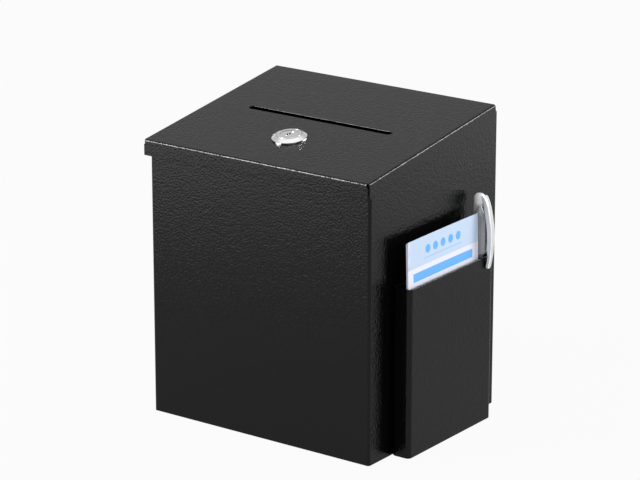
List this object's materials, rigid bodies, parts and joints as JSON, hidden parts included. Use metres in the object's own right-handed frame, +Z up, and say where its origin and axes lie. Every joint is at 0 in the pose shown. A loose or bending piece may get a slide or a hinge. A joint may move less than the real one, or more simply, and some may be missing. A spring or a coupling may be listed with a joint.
{
  "type": "donation box",
  "caption": "Sheet-steel collection box with a sloping hinged lid, posting slot and cam lock, and a side pocket holding cards and a capped pen.",
  "frame": {"origin": "centre of the body's rectangular base, on the surface the box stands on (the side pocket is left out of this centre)", "axes": "+X towards the side that carries the pocket, -Y towards the front lip of the lid, +Y out of the back that goes against a wall, +Z up"},
  "size_m": [0.2019, 0.155, 0.2161],
  "materials": {
    "powder_black": "black powder coat with a fine leather-like texture, semi-gloss",
    "zinc_steel": "zinc-plated steel",
    "lock_chrome": "bright chrome plate",
    "brass": "plain stamped brass",
    "card_stock": "smooth printed card",
    "clear_plastic": "slightly milky clear moulded plastic",
    "ink": "ink-filled plastic tube",
    "nib_metal": "turned nickel-plated metal",
    "blue_plastic": "moulded blue plastic"
  },
  "bodies": {
    "box": {"body_shell": "powder_black", "back_panel": "powder_black", "bottom_pan": "powder_black", "side_pocket": "powder_black", "pocket_rivets": "powder_black", "lock_strike": "zinc_steel", "strike_rivets": "powder_black", "hinge_body_leaf": "powder_black", "hinge_pin": "zinc_steel", "hinge_rivets": "powder_black"},
    "lid": {"lid_shell": "powder_black", "hinge_lid_leaf": "powder_black", "lock_body": "lock_chrome", "lock_washer": "zinc_steel", "lock_nut": "zinc_steel"},
    "key_plug": {"lock_plug": "lock_chrome", "lock_wafers": "brass", "stop_washer": "zinc_steel", "lock_cam": "zinc_steel", "cam_screw": "zinc_steel"},
    "cards": {"suggestion_cards": "card_stock"},
    "pen": {"pen_cap": "clear_plastic", "pen_barrel": "clear_plastic", "pen_refill": "ink", "pen_tip": "nib_metal", "pen_end_plug": "blue_plastic"}
  },
  "joints": [
    {"name": "lid_hinge", "type": "hinge", "parent": "box", "child": "lid", "pos_m": [0, 0.0707, 0.213], "axis": [-1, 0, 0], "range_deg": [0, 98]},
    {"name": "cam_turn", "type": "hinge", "parent": "lid", "child": "key_plug", "pos_m": [-0.002, -0.03692, 0.20121], "axis": [0, 0.1392, -0.9903], "range_deg": [0, 90]},
    {"name": "cards_lift", "type": "slide", "parent": "box", "child": "cards", "axis": [0, 0, 1], "range_m": [0, 0.16]},
    {"name": "pen_lift", "type": "slide", "parent": "box", "child": "pen", "axis": [0, 0, 1], "range_m": [0, 0.16]}
  ]
}
